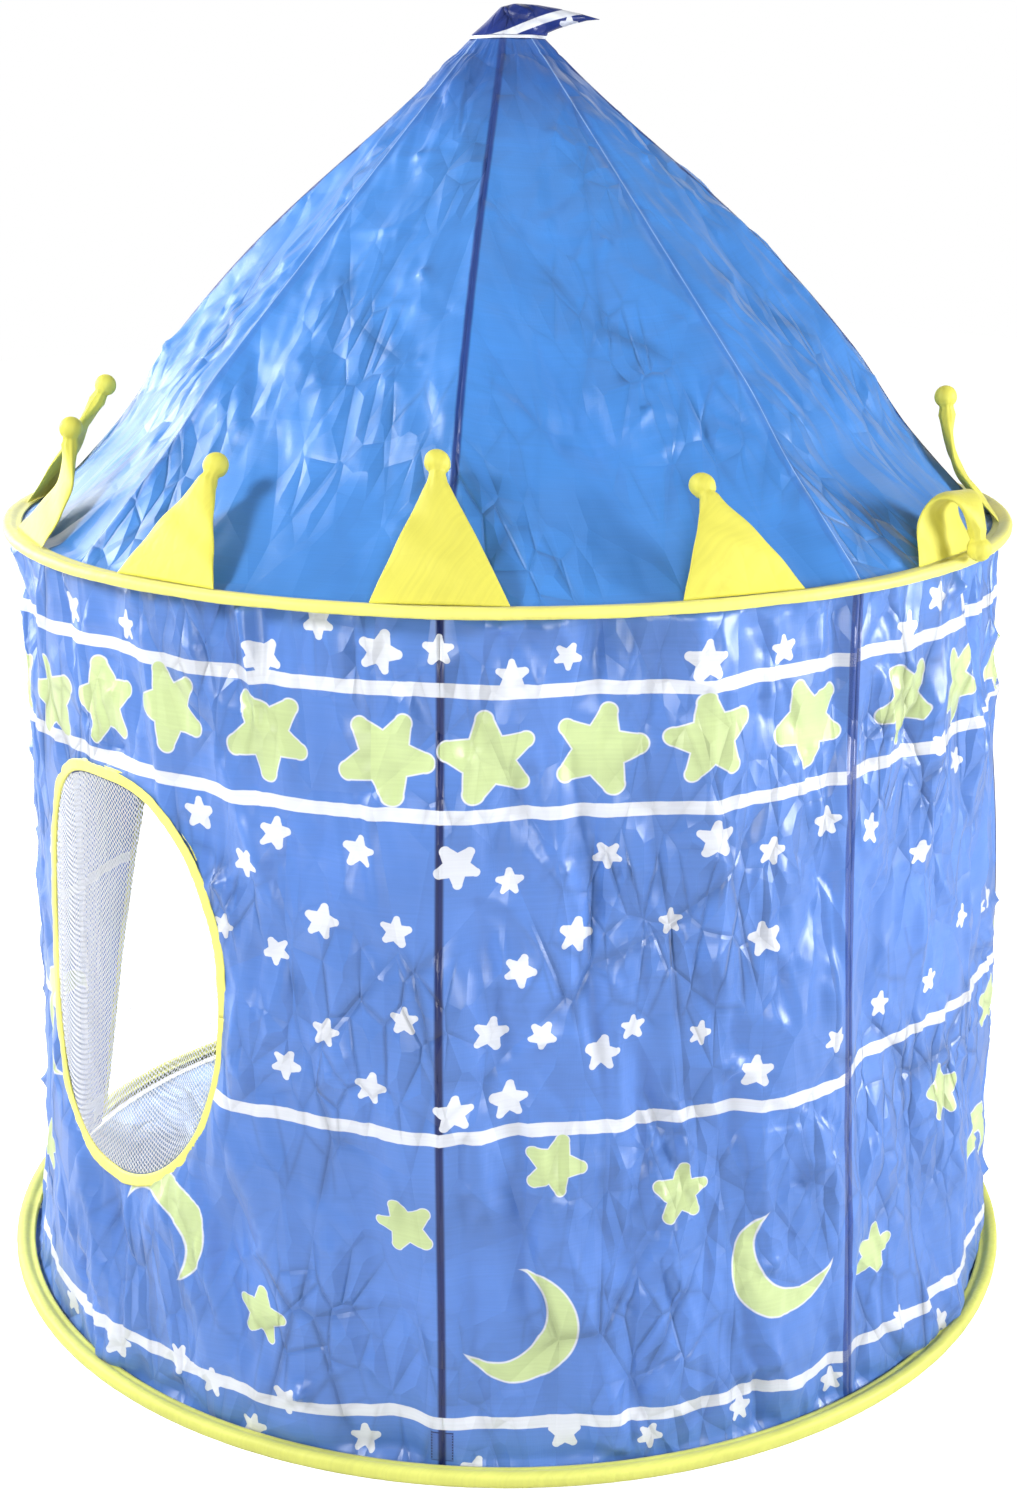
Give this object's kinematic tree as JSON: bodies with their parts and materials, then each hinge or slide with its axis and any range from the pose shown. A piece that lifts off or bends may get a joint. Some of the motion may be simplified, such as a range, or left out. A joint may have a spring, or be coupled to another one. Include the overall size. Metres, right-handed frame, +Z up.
{
  "type": "kids play tent",
  "caption": "Round castle play tent on wire hoops and jointed rods, with a cone roof, an arched doorway, a netted oval window and folding crown points.",
  "frame": {"origin": "centre of the base on the ground", "axes": "+Z up, the doorway faces -Y, the window faces +X"},
  "size_m": [1.1248, 1.1248, 1.3295],
  "materials": {
    "roof_cloth": "satin woven polyester, mid blue",
    "wall_cloth": "satin woven polyester, royal blue ground with printed white stripes, white and light green stars and moons",
    "yellow_cloth": "bright yellow woven polyester",
    "base_tape": "greenish yellow binding tape",
    "floor_cloth": "light blue woven polyester",
    "white_net": "fine white net",
    "sleeve_cloth": "dark blue webbing and sleeve cloth",
    "rod_plastic": "black plastic tube",
    "moulded_plastic": "black moulded plastic",
    "spring_steel": "drawn spring wire"
  },
  "bodies": {
    "tent": {"floor": "floor_cloth", "eave_binding": "yellow_cloth", "base_binding": "base_tape", "eave_hoop": "spring_steel", "base_hoop": "spring_steel", "wall_rod_1": "rod_plastic", "roof_rod_1": "rod_plastic", "wall_sleeve_1": "sleeve_cloth", "roof_sleeve_1": "sleeve_cloth", "rod_pocket_1": "sleeve_cloth", "elbow_1": "moulded_plastic", "wall_rod_2": "rod_plastic", "roof_rod_2": "rod_plastic", "wall_sleeve_2": "sleeve_cloth", "roof_sleeve_2": "sleeve_cloth", "rod_pocket_2": "sleeve_cloth", "elbow_2": "moulded_plastic", "wall_rod_3": "rod_plastic", "roof_rod_3": "rod_plastic", "wall_sleeve_3": "sleeve_cloth", "roof_sleeve_3": "sleeve_cloth", "rod_pocket_3": "sleeve_cloth", "elbow_3": "moulded_plastic", "wall_rod_4": "rod_plastic", "roof_rod_4": "rod_plastic", "wall_sleeve_4": "sleeve_cloth", "roof_sleeve_4": "sleeve_cloth", "rod_pocket_4": "sleeve_cloth", "elbow_4": "moulded_plastic", "apex_hub": "moulded_plastic", "roof_gore_1": "roof_cloth", "roof_gore_2": "roof_cloth", "roof_gore_3": "roof_cloth", "roof_gore_4": "roof_cloth", "roof_gore_5": "roof_cloth", "roof_gore_6": "roof_cloth", "roof_gore_7": "roof_cloth", "roof_gore_8": "roof_cloth", "wall_front": "wall_cloth", "wall_window": "wall_cloth", "wall_back_a": "wall_cloth", "wall_back_b": "wall_cloth", "wall_side": "wall_cloth", "door_binding": "yellow_cloth", "window_binding": "yellow_cloth", "window_net": "white_net", "apex_cap": "wall_cloth"},
    "crown_1": {"crown_point_1": "yellow_cloth"},
    "crown_2": {"crown_point_2": "yellow_cloth"},
    "crown_3": {"crown_point_3": "yellow_cloth"},
    "crown_4": {"crown_point_4": "yellow_cloth"},
    "crown_5": {"crown_point_5": "yellow_cloth"},
    "crown_6": {"crown_point_6": "yellow_cloth"},
    "crown_7": {"crown_point_7": "yellow_cloth"},
    "crown_8": {"crown_point_8": "yellow_cloth"},
    "crown_9": {"crown_point_9": "yellow_cloth"},
    "crown_10": {"crown_point_10": "yellow_cloth"},
    "crown_11": {"crown_point_11": "yellow_cloth"},
    "crown_12": {"crown_point_12": "yellow_cloth"}
  },
  "joints": [
    {"name": "crown_fold_1", "type": "hinge", "parent": "tent", "child": "crown_1", "pos_m": [0.13149, -0.49074, 0.81985], "axis": [0.9659, 0.2588, 0], "range_deg": [-12, 101]},
    {"name": "crown_fold_2", "type": "hinge", "parent": "tent", "child": "crown_2", "pos_m": [0.35925, -0.35925, 0.81985], "axis": [0.7071, 0.7071, 0], "range_deg": [-8, 101]},
    {"name": "crown_fold_3", "type": "hinge", "parent": "tent", "child": "crown_3", "pos_m": [0.49074, -0.13149, 0.81985], "axis": [0.2588, 0.9659, 0], "range_deg": [-14, 108]},
    {"name": "crown_fold_4", "type": "hinge", "parent": "tent", "child": "crown_4", "pos_m": [0.49074, 0.13149, 0.81985], "axis": [-0.2588, 0.9659, 0], "range_deg": [-13, 98]},
    {"name": "crown_fold_5", "type": "hinge", "parent": "tent", "child": "crown_5", "pos_m": [0.35925, 0.35925, 0.81985], "axis": [-0.7071, 0.7071, 0], "range_deg": [-6, 104]},
    {"name": "crown_fold_6", "type": "hinge", "parent": "tent", "child": "crown_6", "pos_m": [0.13149, 0.49074, 0.81985], "axis": [-0.9659, 0.2588, 0], "range_deg": [-13, 91]},
    {"name": "crown_fold_7", "type": "hinge", "parent": "tent", "child": "crown_7", "pos_m": [-0.13149, 0.49074, 0.81985], "axis": [-0.9659, -0.2588, 0], "range_deg": [-34, 38]},
    {"name": "crown_fold_8", "type": "hinge", "parent": "tent", "child": "crown_8", "pos_m": [-0.35925, 0.35925, 0.81985], "axis": [-0.7071, -0.7071, 0], "range_deg": [-3, 111]},
    {"name": "crown_fold_9", "type": "hinge", "parent": "tent", "child": "crown_9", "pos_m": [-0.49074, 0.13149, 0.81985], "axis": [-0.2588, -0.9659, 0], "range_deg": [-13, 100]},
    {"name": "crown_fold_10", "type": "hinge", "parent": "tent", "child": "crown_10", "pos_m": [-0.49074, -0.13149, 0.81985], "axis": [0.2588, -0.9659, 0], "range_deg": [-13, 103]},
    {"name": "crown_fold_11", "type": "hinge", "parent": "tent", "child": "crown_11", "pos_m": [-0.35925, -0.35925, 0.81985], "axis": [0.7071, -0.7071, 0], "range_deg": [-8, 97]},
    {"name": "crown_fold_12", "type": "hinge", "parent": "tent", "child": "crown_12", "pos_m": [-0.13149, -0.49074, 0.81985], "axis": [0.9659, -0.2588, 0], "range_deg": [-13, 103]}
  ]
}
